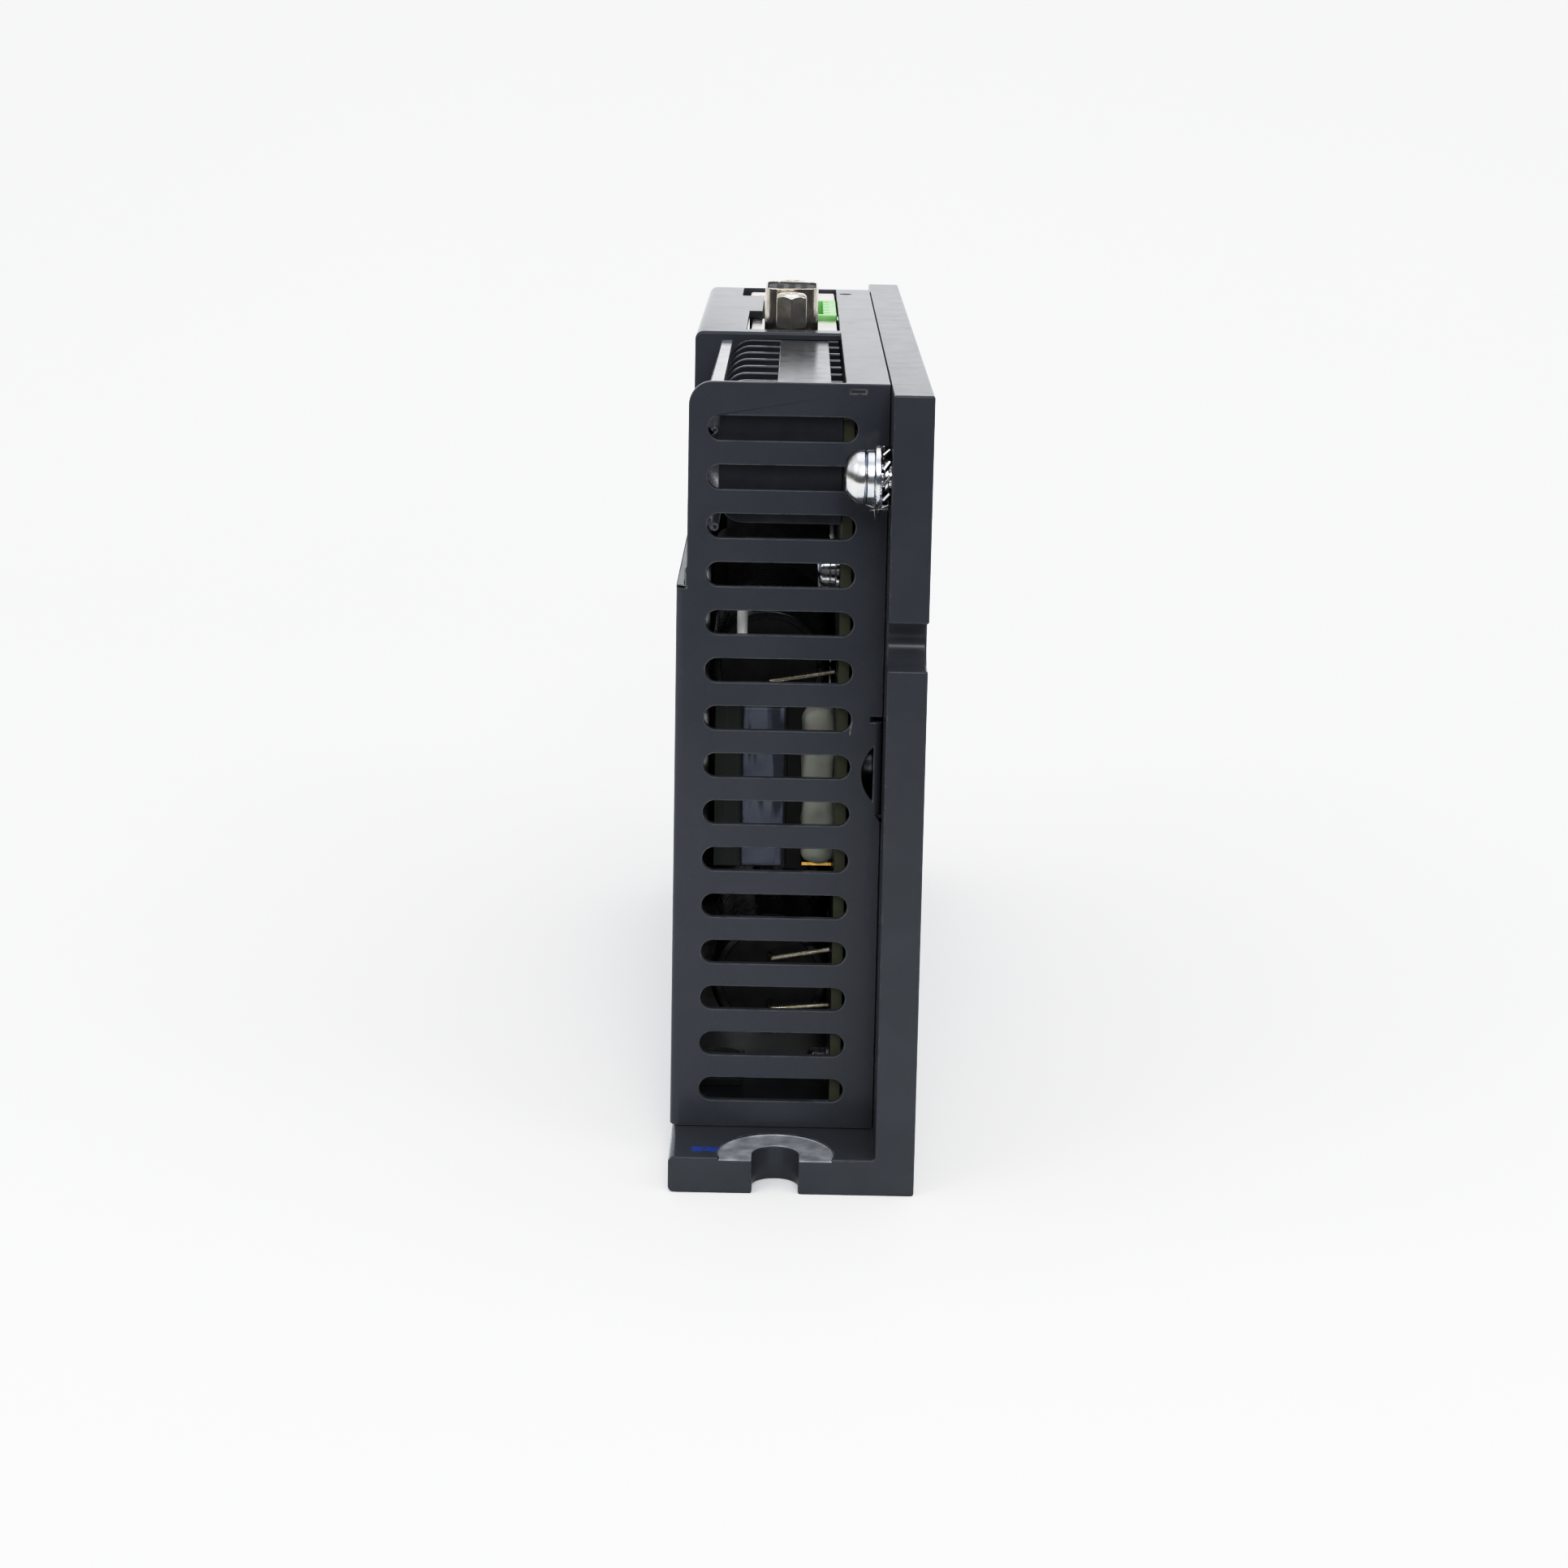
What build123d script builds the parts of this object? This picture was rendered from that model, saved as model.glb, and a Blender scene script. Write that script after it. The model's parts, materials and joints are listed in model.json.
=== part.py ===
from build123d import *
import math
import os

# Stepper motor driver module: electronics on an L-shaped aluminium heat-sink bracket under a bent sheet cover.
# Frame: X across the narrow front (cover side wall at -X, mounting plate at +X), Y from front to rear, Z up.
# Origin: centre of the footprint, on the surface that the foot stands on. Millimetres.

# ---- driving dimensions -------------------------------------------------------------------------------------
LENGTH = 180.0                      # bracket, front to rear
HEIGHT = 116.0                      # bracket and cover top
OUT_X = 17.9                        # half the overall width
COVER_PROUD = 0.3                   # side wall of the cover stands this far outside the foot
FOOT_T = 5.4
PLATE_T = 5.7
SHEET = 1.2                         # cover sheet thickness
END_INSET = 13.0                    # end plates sit this far in from the bracket's ends

FOOT_LEFT = -OUT_X + COVER_PROUD
PLATE_IN = OUT_X - PLATE_T          # inner face of the mounting plate
WALL_IN = -OUT_X + SHEET            # inner face of the cover's side wall
FRONT = -LENGTH / 2
REAR = LENGTH / 2
END_OUT = LENGTH / 2 - END_INSET    # outer face of either end plate, as a distance from the middle
END_IN = END_OUT - SHEET
PANEL_UNDER = HEIGHT - SHEET

NOTCH_W = 6.7                       # U-notches for M6 screws
FOOT_NOTCH_X = -2.15
FOOT_NOTCH_DEPTH = 6.25
SPOT_R = 8.4
SPOT_DEEP = 0.35
SPOT_FROM_END = 2.2
PLATE_NOTCH_Z = 80.75
PLATE_NOTCH_DEPTH = 7.0

VENT_COUNT = 15
VENT_PITCH = 7.01
VENT_H = 3.5
VENT_TOP_Z = 109.4
VENT_X = (-13.6, 7.6)

BAY_FLOOR = 86.7                    # terminal bay: cover is open above this height, up to BAY_REAR
BAY_REAR = -6.5
STRIP_X = 5.8                       # inner edge of the top strip beside the mounting plate
END_FREE_X = -16.4                  # free edge of the front end plate beside the bay

BOARD_T = 1.6
BOARD_GAP = 5.0                     # main board to mounting plate
BOARD_R = PLATE_IN - BOARD_GAP
BOARD_L = BOARD_R - BOARD_T         # component face
BOARD_HALF = 74.5
BOARD_Z = (8.0, 110.5)

STANDOFF_AF = 5.5                   # across flats

M3_R = 1.45                         # M3 shank in a 1.50 hole
M3_HOLE = 1.50
M3_CLEAR = 1.70
M4_R = 1.95
M4_HOLE = 2.00

BEND_R = 1.4                        # outside of the cover's bends
TAB_BEND_R = 0.9
TAB_Z = (53.2, 67.1)                # cover tabs against the mounting plate
TAB_REACH = 12.0
TAB_SCREW_Y = END_OUT - 7.0
TAB_SCREW_Z = 60.0
TAB_RELIEF = (14.9, 59.4, 5.65)     # round notch in an end plate beside its tab: x, z, radius
TAB_SLOT = (10.3, 67.9)             # bend relief above the tab: inner end, top
FLOOR_TAB_Y = 52.0                  # cover tabs on the foot
FLOOR_TAB_W = 14.0
FLOOR_TAB_X = -7.4
FLOOR_SCREW_X = -11.0
FLOOR_GAP = 0.05                    # cover's lower edge and floor tabs above the foot
NUT_R = 3.4                         # clinch nuts on the tabs
NUT_H = 1.7
MARK_X = (6.4, 8.7)                 # stamped mark on each end plate
MARK_Z = (114.5, 115.2)
MARK_DEEP = 0.1

POLES = 7                           # barrier terminals
POLE_PITCH = 9.5
TERM_Y0 = -75.2
TERM_Z = (95.5, 115.0)
TERM_OUT_X = -12.1                  # free ends of the partitions
TERM_BASE_X = -4.0                  # contact face of the base
TERM_FOOT_X = 3.9
PARTITION_T = 1.1
TERM_SCREW_Z = 106.2

DSUB_X = -2.3
DSUB_Y = 14.0
DSUB_FLANGE = (12.5, 30.8, 0.8)
DSUB_SHELL = (8.9, 16.4)
DSUB_TOP = 122.0
JACK_PITCH = 25.0
JACK_AF = 5.0
JACK_TOP = 121.7

HEADER_X = (-7.0, BOARD_L)
HEADER_Y = (30.4, 59.4)
HEADER_Z = (103.5, 115.5)
HEADER_PITCH = 5.08
PIN_X = -3.4

MOD_X = (-10.1, BOARD_L)
MOD_Y = (60.4, 75.5)
MOD_Z = (99.5, 115.3)

LED_X = 7.5
LED_Y = 66.6

CAP_R = 9.0
CAP_LONG = 40.0
CAP_RECESS = 1.6                    # rolled rim round the rubber base
CAP_LOWER = (-3.6, 23.1, -60.0)     # axis x and z, and the y of the base
CAP_UPPER = (-4.6, 69.2, -48.6)
LEAD_PITCH = 7.5
LEAD_R = 0.4
LEAD_OUT = 2.6                      # a lead's run in front of the base
LEAD_RUNS = ((CAP_LOWER, 1, 27.0, 28.6), (CAP_LOWER, -1, 19.1, 19.9),
             (CAP_UPPER, 1, 72.6, 73.0), (CAP_UPPER, -1, 67.3, 69.1))

LINK_X = -8.5                       # sleeved link: its upright, its two runs, and its half thickness
LINK_Y = -66.0
LINK_Z = (75.5, 82.8)
LINK_R = 0.8

DAUGHTER_X = (-12.6, -1.6)
DAUGHTER_Y = -51.6
DAUGHTER_Z = (38.4, 64.6)

LEG_PITCH = 2.54                    # power transistor legs

EARTH_Y = -84.0
EARTH_Z = 103.8
EARTH_HEAD = (5.8, 8.85)            # free end and seat of the head
EARTH_DOME = ((0.0, 2.3), (0.5, 3.05), (1.2, 3.58), (2.1, 3.85))
EARTH_RIM = ((2.7, 3.85), (3.05, 3.55))

CORE_X = (-12.2, 4.6)
CORE_Y = (-8.0, 20.0)
CORE_Z = (36.0, 86.4)
COIL_X = (-14.4, 5.2)

os.makedirs("parts", exist_ok=True)


# ---- helpers ------------------------------------------------------------------------------------------------
def block(x, y, z):
    """Box from its (low, high) limits on each axis."""
    size = Box(x[1] - x[0], y[1] - y[0], z[1] - z[0])
    return Pos((x[0] + x[1]) / 2, (y[0] + y[1]) / 2, (z[0] + z[1]) / 2) * size


def rod_x(y, z, r, x0, x1):
    """Cylinder along X."""
    return Pos((x0 + x1) / 2, y, z) * Rot(0, 90, 0) * Cylinder(r, x1 - x0)


def rod_y(x, z, r, y0, y1):
    """Cylinder along Y."""
    return Pos(x, (y0 + y1) / 2, z) * Rot(90, 0, 0) * Cylinder(r, y1 - y0)


def rod_z(x, y, r, z0, z1):
    """Cylinder along Z."""
    return Pos(x, y, (z0 + z1) / 2) * Cylinder(r, z1 - z0)


def cone_x(y, z, r0, r1, x0, x1):
    """Cone along X, radius r0 at x0 and r1 at x1."""
    return Pos((x0 + x1) / 2, y, z) * Rot(0, 90, 0) * Cone(r0, r1, x1 - x0)


def cone_z(x, y, r0, r1, z0, z1):
    """Cone along Z, radius r0 at z0 and r1 at z1."""
    return Pos(x, y, (z0 + z1) / 2) * Cone(r0, r1, z1 - z0)


def prism_y(points, y0, y1):
    """Closed X-Z outline carried along Y."""
    face = make_face(Polyline([(x, y0, z) for x, z in points], close=True))
    return extrude(face, amount=y1 - y0, dir=(0, 1, 0))


def rounded_y(x, z, radius, y0, y1):
    """X-Z rectangle with round corners, carried along Y."""
    shape = RectangleRounded(x[1] - x[0], z[1] - z[0], radius)
    face = Plane(origin=((x[0] + x[1]) / 2, y0, (z[0] + z[1]) / 2), x_dir=(1, 0, 0), z_dir=(0, -1, 0)) * shape
    return extrude(face, amount=y1 - y0, dir=(0, 1, 0))


def rounded_z(x, y, radius, z0, z1):
    """X-Y rectangle with round corners, carried along Z."""
    shape = RectangleRounded(x[1] - x[0], y[1] - y[0], radius)
    return Pos((x[0] + x[1]) / 2, (y[0] + y[1]) / 2, z0) * extrude(shape, amount=z1 - z0)


def fused(pieces):
    """One solid from several that touch."""
    whole = pieces[0]
    for piece in pieces[1:]:
        whole = whole + piece
    return whole


def save(name, *solids):
    """Write one node; several solids stay separate solids in it."""
    shapes = []
    for item in solids:
        shapes.extend(item.solids())
    shape = shapes[0] if len(shapes) == 1 else Compound(children=shapes)
    shape.label = name
    export_step(shape, f"parts/{name}.step")


def edges_along(shape, axis, test):
    """Straight edges parallel to an axis that pass a test on their centre."""
    return [e for e in shape.edges().filter_by(axis) if test(e.center())]


# ---- heat-sink bracket --------------------------------------------------------------------------------------
def standoff_spots():
    """(y, z) of the board's screws and standoffs."""
    return [(-68.0, 87.6), (-68.0, 12.0), (68.0, 87.6), (68.0, 12.0), (2.0, 12.0)]


def end_notch_foot(side):
    """U-notch and its spot face, open at the front (-1) or rear (+1) end of the foot."""
    r = NOTCH_W / 2
    centre = side * (LENGTH / 2 - FOOT_NOTCH_DEPTH + r)
    mouth = side * (LENGTH / 2 + 5)
    y = (min(centre, mouth), max(centre, mouth))
    cut = block((FOOT_NOTCH_X - r, FOOT_NOTCH_X + r), y, (-1, FOOT_T + 1))
    cut += rod_z(FOOT_NOTCH_X, centre, r, -1, FOOT_T + 1)
    spot_y = side * (LENGTH / 2 - SPOT_FROM_END)
    return cut + rod_z(FOOT_NOTCH_X, spot_y, SPOT_R, FOOT_T - SPOT_DEEP, FOOT_T + 1)


def end_notch_plate(side):
    """U-notch open at the front (-1) or rear (+1) edge of the mounting plate."""
    r = NOTCH_W / 2
    centre = side * (LENGTH / 2 - PLATE_NOTCH_DEPTH + r)
    mouth = side * (LENGTH / 2 + 5)
    y = (min(centre, mouth), max(centre, mouth))
    cut = block((PLATE_IN - 1, OUT_X + 1), y, (PLATE_NOTCH_Z - r, PLATE_NOTCH_Z + r))
    return cut + rod_x(centre, PLATE_NOTCH_Z, r, PLATE_IN - 1, OUT_X + 1)


def heatsink_bracket():
    foot = block((FOOT_LEFT, OUT_X), (FRONT, REAR), (0, FOOT_T))
    plate = block((PLATE_IN, OUT_X), (FRONT, REAR), (0, HEIGHT))
    body = foot + plate
    body = fillet(edges_along(body, Axis.Y, lambda c: c.X < FOOT_LEFT + 0.1), 0.9)
    outer = edges_along(body, Axis.Y, lambda c: c.Z > HEIGHT - 0.1 or (c.X > OUT_X - 0.1 and c.Z < 1))
    body = fillet(outer, 0.4)
    inner = edges_along(body, Axis.Y, lambda c: abs(c.X - PLATE_IN) < 0.1 and abs(c.Z - FOOT_T) < 0.1)
    body = fillet(inner, 0.5)
    for side in (-1, 1):
        body -= end_notch_foot(side)
        body -= end_notch_plate(side)
        body -= rod_x(side * TAB_SCREW_Y, TAB_SCREW_Z, M3_HOLE, PLATE_IN - 1, OUT_X + 1)
        body -= cone_x(side * TAB_SCREW_Y, TAB_SCREW_Z, M3_HOLE, 3.2, OUT_X - 1.7, OUT_X)
        body -= rod_z(FLOOR_SCREW_X, side * FLOOR_TAB_Y, M3_HOLE, -1, FOOT_T + 1)
        body -= cone_z(FLOOR_SCREW_X, side * FLOOR_TAB_Y, 3.2, M3_HOLE, 0, 1.7)
    for y, z in standoff_spots():
        body -= rod_x(y, z, M3_HOLE, PLATE_IN - 1, PLATE_IN + 4.8)
    body -= rod_x(EARTH_Y, EARTH_Z, M4_HOLE, PLATE_IN - 1, OUT_X + 1)
    return body


# ---- cover --------------------------------------------------------------------------------------------------
def vents(y0, y1):
    """One column of round-ended slots through an end plate."""
    holes = []
    for i in range(VENT_COUNT):
        z = VENT_TOP_Z - VENT_PITCH * i
        holes.append(rounded_y(VENT_X, (z - VENT_H / 2, z + VENT_H / 2), VENT_H / 2 - 0.001, y0, y1))
    return holes


def cover():
    bottom = FOOT_T + FLOOR_GAP
    right = PLATE_IN - 0.1
    shell = block((-OUT_X, right), (-END_OUT, END_OUT), (bottom, HEIGHT))
    bends = edges_along(shell, Axis.Z, lambda c: c.X < 0)
    bends += edges_along(shell, Axis.Y, lambda c: c.X < 0 and c.Z > HEIGHT - 1)
    shell = fillet(bends, BEND_R)
    shell -= block((WALL_IN, right + 1), (-END_IN, END_IN), (bottom - 1, PANEL_UNDER))
    shell -= block((WALL_IN, STRIP_X), (-END_IN, BAY_REAR), (PANEL_UNDER - 1, HEIGHT + 1))
    body = shell + block((-OUT_X + 0.2, -9.4), (BAY_REAR, BAY_REAR + SHEET), (BAY_FLOOR, PANEL_UNDER))
    # the terminal bay: side wall cut down, and the front end plate stepped in beside it
    body -= block((-OUT_X - 1, WALL_IN + 0.001), (-END_OUT - 1, BAY_REAR), (BAY_FLOOR, HEIGHT + 1))
    outline = [(-OUT_X - 1, BAY_FLOOR), (-OUT_X, BAY_FLOOR), (END_FREE_X, BAY_FLOOR + 2.8)]
    outline += [(END_FREE_X, HEIGHT + 1), (-OUT_X - 1, HEIGHT + 1)]
    body -= prism_y(outline, -END_OUT - 1, -END_IN)
    corner = edges_along(body, Axis.Y, lambda c: abs(c.X - END_FREE_X) < 0.1 and c.Z > HEIGHT - 0.1)
    body = fillet(corner, 3.4)
    # relief slit at the end of the bend
    body -= block((-OUT_X - 1, WALL_IN + 0.3), (-END_OUT - 1, -END_IN), (BAY_FLOOR - 0.45, BAY_FLOOR - 0.15))
    top_edge = edges_along(body, Axis.X, lambda c: abs(c.Y - BAY_REAR) < 0.1 and c.Z > HEIGHT - 0.1)
    body = fillet(top_edge, 0.5)
    for hole in vents(-END_OUT - 1, -END_IN + 1) + vents(END_IN - 1, END_OUT + 1):
        body -= hole
    # connector windows in the rear half of the top
    body -= block((-9.6, STRIP_X), (-1.6, 30.2), (PANEL_UNDER - 1, HEIGHT + 1))
    body -= block((-7.4, STRIP_X), (30.0, 60.2), (PANEL_UNDER - 1, HEIGHT + 1))
    body -= block((-11.4, STRIP_X), (60.0, END_IN), (PANEL_UNDER - 1, HEIGHT + 1))
    body -= rod_z(LED_X, LED_Y, 1.05, PANEL_UNDER - 1, HEIGHT + 1)
    for side in (-1, 1):
        body = with_tabs(body, side, right)
    return body


def with_tabs(body, side, right):
    """The cover with its front (-1) or rear (+1) end plate's tab and floor tab."""
    y = sorted((side * (END_OUT + 1), side * (END_IN - 1)))
    # shallow stamped mark under the top edge
    mark_y = sorted((side * (END_OUT + 1), side * (END_OUT - MARK_DEEP)))
    body -= block(MARK_X, mark_y, MARK_Z)
    # round notch for the nut, a bend relief, and the tab folded back along the mounting plate
    notch_x, notch_z, notch_r = TAB_RELIEF
    body -= rod_y(notch_x, notch_z, notch_r, y[0], y[1])
    body -= block((right - SHEET, right + 1), y, TAB_Z)
    body -= block((TAB_SLOT[0], right + 1), y, (TAB_Z[1] - 0.01, TAB_SLOT[1]))
    tab_y = sorted((side * END_OUT, side * (END_OUT - TAB_REACH)))
    tab = block((right - SHEET, right), tab_y, TAB_Z)
    bend = edges_along(tab, Axis.Z, lambda c: c.X > right - 0.1 and abs(c.Y - side * END_OUT) < 0.1)
    tab = fillet(bend, TAB_BEND_R)
    tab -= rod_x(side * TAB_SCREW_Y, TAB_SCREW_Z, M3_CLEAR, right - SHEET - 1, right + 1)
    body += tab
    low = side * FLOOR_TAB_Y
    base = FOOT_T + FLOOR_GAP
    half = FLOOR_TAB_W / 2
    floor_tab = block((-OUT_X, FLOOR_TAB_X), (low - half, low + half), (base, base + SHEET))
    floor_tab -= rod_z(FLOOR_SCREW_X, low, M3_CLEAR, 0, base + SHEET + 1)
    return body + floor_tab


def cover_screws():
    """Countersunk M3 screws from outside: two through the plate, two up through the foot."""
    made = []
    for side in (-1, 1):
        y = side * TAB_SCREW_Y
        screw = cone_x(y, TAB_SCREW_Z, M3_R, 3.0, OUT_X - 1.6, OUT_X - 0.05)
        screw += rod_x(y, TAB_SCREW_Z, M3_R, 9.3, OUT_X - 1.6)
        hexagon = Plane(origin=(OUT_X, y, TAB_SCREW_Z), z_dir=(1, 0, 0)) * RegularPolygon(1.15, 6)
        made.append(screw - extrude(hexagon, amount=-1.2))
        y = side * FLOOR_TAB_Y
        screw = cone_z(FLOOR_SCREW_X, y, 3.0, M3_R, 0.05, 1.6)
        screw += rod_z(FLOOR_SCREW_X, y, M3_R, 1.6, 8.6)
        hexagon = Plane(origin=(FLOOR_SCREW_X, y, 0), z_dir=(0, 0, 1)) * RegularPolygon(1.15, 6)
        made.append(screw - extrude(hexagon, amount=1.2))
    return made


def cover_nuts():
    """Clinch nuts pressed on the cover's tabs."""
    made = []
    tab_face = PLATE_IN - 0.1 - SHEET
    for side in (-1, 1):
        y = side * TAB_SCREW_Y
        nut = rod_x(y, TAB_SCREW_Z, NUT_R, tab_face - NUT_H, tab_face)
        nut = chamfer(nut.edges().group_by(Axis.X)[0], 0.35)
        made.append(nut - rod_x(y, TAB_SCREW_Z, M3_HOLE, tab_face - NUT_H - 1, tab_face + 1))
        y = side * FLOOR_TAB_Y
        seat = FOOT_T + FLOOR_GAP + SHEET
        nut = rod_z(FLOOR_SCREW_X, y, NUT_R, seat, seat + NUT_H)
        nut = chamfer(nut.edges().group_by(Axis.Z)[-1], 0.35)
        made.append(nut - rod_z(FLOOR_SCREW_X, y, M3_HOLE, seat - 1, seat + NUT_H + 1))
    return made


# ---- main board and its fixings -----------------------------------------------------------------------------
def main_board():
    board = block((BOARD_L, BOARD_R), (-BOARD_HALF, BOARD_HALF), BOARD_Z)
    for y, z in standoff_spots():
        board -= rod_x(y, z, 1.6, BOARD_L - 1, BOARD_R + 1)
    return board


def board_standoffs():
    made = []
    for y, z in standoff_spots():
        corner = STANDOFF_AF / 2 / math.cos(math.pi / 6)
        hexagon = Plane(origin=(BOARD_R, y, z), z_dir=(1, 0, 0)) * RegularPolygon(corner, 6)
        pillar = extrude(hexagon, amount=BOARD_GAP)
        pillar += rod_x(y, z, M3_R, PLATE_IN, PLATE_IN + 4.4)
        made.append(pillar - rod_x(y, z, M3_HOLE, BOARD_R - 1, BOARD_R + 4.0))
    return made


def cross_recess_x(y, z, face, reach, depth):
    """Cross-shaped driver recess in a face that looks along -X."""
    bar = block((face - 0.5, face + depth), (y - reach, y + reach), (z - 0.35, z + 0.35))
    return bar + block((face - 0.5, face + depth), (y - 0.35, y + 0.35), (z - reach, z + reach))


def pan_screw_x(y, z, seat, head_r, head_h, shank_r, tip):
    """Pan-head screw along X: head on the -X side of its seat, shank out to tip."""
    head = rod_x(y, z, head_r, seat - head_h, seat)
    head = fillet(head.edges().sort_by(Axis.X)[0], head_h * 0.55)
    screw = head + rod_x(y, z, shank_r, seat, tip)
    return screw - cross_recess_x(y, z, seat - head_h, head_r * 0.55, head_h * 0.6)


def board_screws():
    seat = BOARD_L - 1.4
    return [pan_screw_x(y, z, seat, 2.75, 1.9, M3_R, BOARD_R + 3.6) for y, z in standoff_spots()]


def split_ring_x(y, z, r_in, r_out, x0, x1):
    """Spring washer: a ring with one slanted cut."""
    ring = rod_x(y, z, r_out, x0, x1) - rod_x(y, z, r_in, x0 - 1, x1 + 1)
    slit = Box(4 * (x1 - x0), 0.35, 2 * (r_out - r_in))
    gap = Pos((x0 + x1) / 2, y, z + (r_in + r_out) / 2) * Rot(0, 0, 25) * slit
    return ring - gap


def board_washers():
    made = []
    for y, z in standoff_spots():
        flat = rod_x(y, z, 3.4, BOARD_L - 0.6, BOARD_L) - rod_x(y, z, 1.6, BOARD_L - 1, BOARD_L + 1)
        made.append(flat)
        made.append(split_ring_x(y, z, 1.6, 2.8, BOARD_L - 1.4, BOARD_L - 0.6))
    return made


# ---- barrier terminal block ---------------------------------------------------------------------------------
def pole_centres():
    return [TERM_Y0 + POLE_PITCH * (i + 0.5) for i in range(POLES)]


def terminal_contact(y):
    plate = block((TERM_BASE_X - 0.8, TERM_BASE_X), (y - 3.8, y + 3.8), (99.2, 113.6))
    leg = block((TERM_BASE_X, BOARD_L), (y - 1.0, y + 1.0), (99.9, 100.9))
    return plate + leg - rod_x(y, TERM_SCREW_Z, 1.75, TERM_BASE_X - 2, TERM_BASE_X + 1)


def terminal_block():
    length = POLES * POLE_PITCH
    y_end = TERM_Y0 + length
    body = block((TERM_BASE_X, TERM_FOOT_X), (TERM_Y0, y_end), TERM_Z)
    body += block((-8.6, TERM_BASE_X), (TERM_Y0, y_end), (TERM_Z[0], TERM_Z[0] + 1.4))
    for i in range(POLES + 1):
        middle = TERM_Y0 + POLE_PITCH * i
        y0 = max(TERM_Y0, middle - PARTITION_T / 2)
        y1 = min(y_end, middle + PARTITION_T / 2)
        wall = block((TERM_OUT_X, TERM_BASE_X), (y0, y1), TERM_Z)
        outer = edges_along(wall, Axis.Y, lambda c: c.X < TERM_OUT_X + 0.1)
        wall = fillet(outer, 3.6)
        foot = block((TERM_FOOT_X, BOARD_L), (y0, y1), TERM_Z)
        body += wall + foot
    for y in pole_centres():
        body -= block((TERM_BASE_X - 1, TERM_FOOT_X + 1), (y - 1.0, y + 1.0), (99.9, 100.9))
        body -= rod_x(y, TERM_SCREW_Z, 2.2, TERM_BASE_X - 1, 2.4)
    return body


def terminal_washer(y):
    """Captive square washer under a terminal screw."""
    seat = TERM_BASE_X - 0.8
    plate = block((seat - 1.0, seat), (y - 3.3, y + 3.3), (TERM_SCREW_Z - 3.3, TERM_SCREW_Z + 3.3))
    plate = fillet(plate.edges().filter_by(Axis.X), 0.5)
    return plate - rod_x(y, TERM_SCREW_Z, 1.78, seat - 2, seat + 1)


def terminal_screw(y):
    seat = TERM_BASE_X - 1.8
    return pan_screw_x(y, TERM_SCREW_Z, seat, 3.1, 2.3, 1.70, 0.6)


def terminal_guard():
    """Pull-off insulating guard over the screws, with two hollow ribs along its inner face."""
    outer = [(-13.4, 114.9), (-15.6, 107.2), (-15.6, 98.6), (-13.1, 94.5)]
    inner = [(-12.6, 95.0), (-14.6, 98.9), (-14.6, 107.0), (-12.4, 112.6), (-11.7, 113.6), (-11.7, 114.9)]
    y0 = TERM_Y0 + 0.4
    y1 = TERM_Y0 + POLES * POLE_PITCH - 0.4
    body = prism_y(outer + inner, y0, y1)
    ribs = ((-12.75, 108.7, 0.52, -13.9), (-12.55, 94.8, 0.6, -13.0))
    for x, z, r, root in ribs:
        body += rod_y(x, z, r, y0, y1)
        body += block((root, x), (y0, y1), (z - 0.3, z + 0.3))
    for x, z, r, _ in ribs:
        body -= rod_y(x, z, r * 0.5, y0 - 1, y1 + 1)
    return body


# ---- encoder connector (high-density D-shell) ---------------------------------------------------------------
def d_outline(width, length, plane_z):
    """D-shaped face: long sides along Y, +X side shorter."""
    lean = width * math.tan(math.radians(10))
    half = length / 2
    points = [(-width / 2, -half), (width / 2, -half + lean), (width / 2, half - lean), (-width / 2, half)]
    shape = make_face(Polyline([(x, y) for x, y in points], close=True))
    shape = fillet(shape.vertices(), 1.9)
    return Pos(DSUB_X, DSUB_Y, plane_z) * shape


def dsub_pins():
    """(x, y, bend height) of the fifteen contacts in three staggered rows."""
    spots = []
    for row in range(3):
        for i in range(5):
            y = DSUB_Y + (i - 2) * 2.29 + (0.57 if row == 1 else -0.57)
            spots.append((DSUB_X + (row - 1) * 1.98, y, 105.5 + 1.5 * row))
    return spots


def dsub_shell():
    flange_top = PANEL_UNDER - 0.05
    flange_low = flange_top - DSUB_FLANGE[2]
    half_x = DSUB_FLANGE[0] / 2
    half_y = DSUB_FLANGE[1] / 2
    flange_x = (DSUB_X - half_x - 0.5, BOARD_L - 0.1)
    body = rounded_z(flange_x, (DSUB_Y - half_y, DSUB_Y + half_y), 1.2, flange_low, flange_top)
    body += extrude(d_outline(DSUB_SHELL[0], DSUB_SHELL[1], flange_top), amount=DSUB_TOP - flange_top)
    bore = d_outline(DSUB_SHELL[0] - 0.8, DSUB_SHELL[1] - 0.8, flange_low - 1)
    body -= extrude(bore, amount=DSUB_TOP - flange_low + 2)
    for side in (-1, 1):
        body -= rod_z(DSUB_X, DSUB_Y + side * JACK_PITCH / 2, 1.5, flange_low - 1, flange_top + 1)
    return body


def dsub_insulator():
    flange_low = PANEL_UNDER - 0.05 - DSUB_FLANGE[2]
    plug_face = d_outline(DSUB_SHELL[0] - 0.9, DSUB_SHELL[1] - 0.9, flange_low)
    body = extrude(plug_face, amount=DSUB_TOP - 0.35 - flange_low)
    body += block((DSUB_X - 5.2, DSUB_X + 5.2), (DSUB_Y - 9.6, DSUB_Y + 9.6), (110.0, flange_low))
    body += block((DSUB_X - 2.0, BOARD_L), (DSUB_Y - 9.6, DSUB_Y - 8.2), (103.5, 110.0))
    body += block((DSUB_X - 2.0, BOARD_L), (DSUB_Y + 8.2, DSUB_Y + 9.6), (103.5, 110.0))
    for x, y, _ in dsub_pins():
        body -= rod_z(x, y, 0.62, 109.0, DSUB_TOP + 1)
    return body


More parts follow.
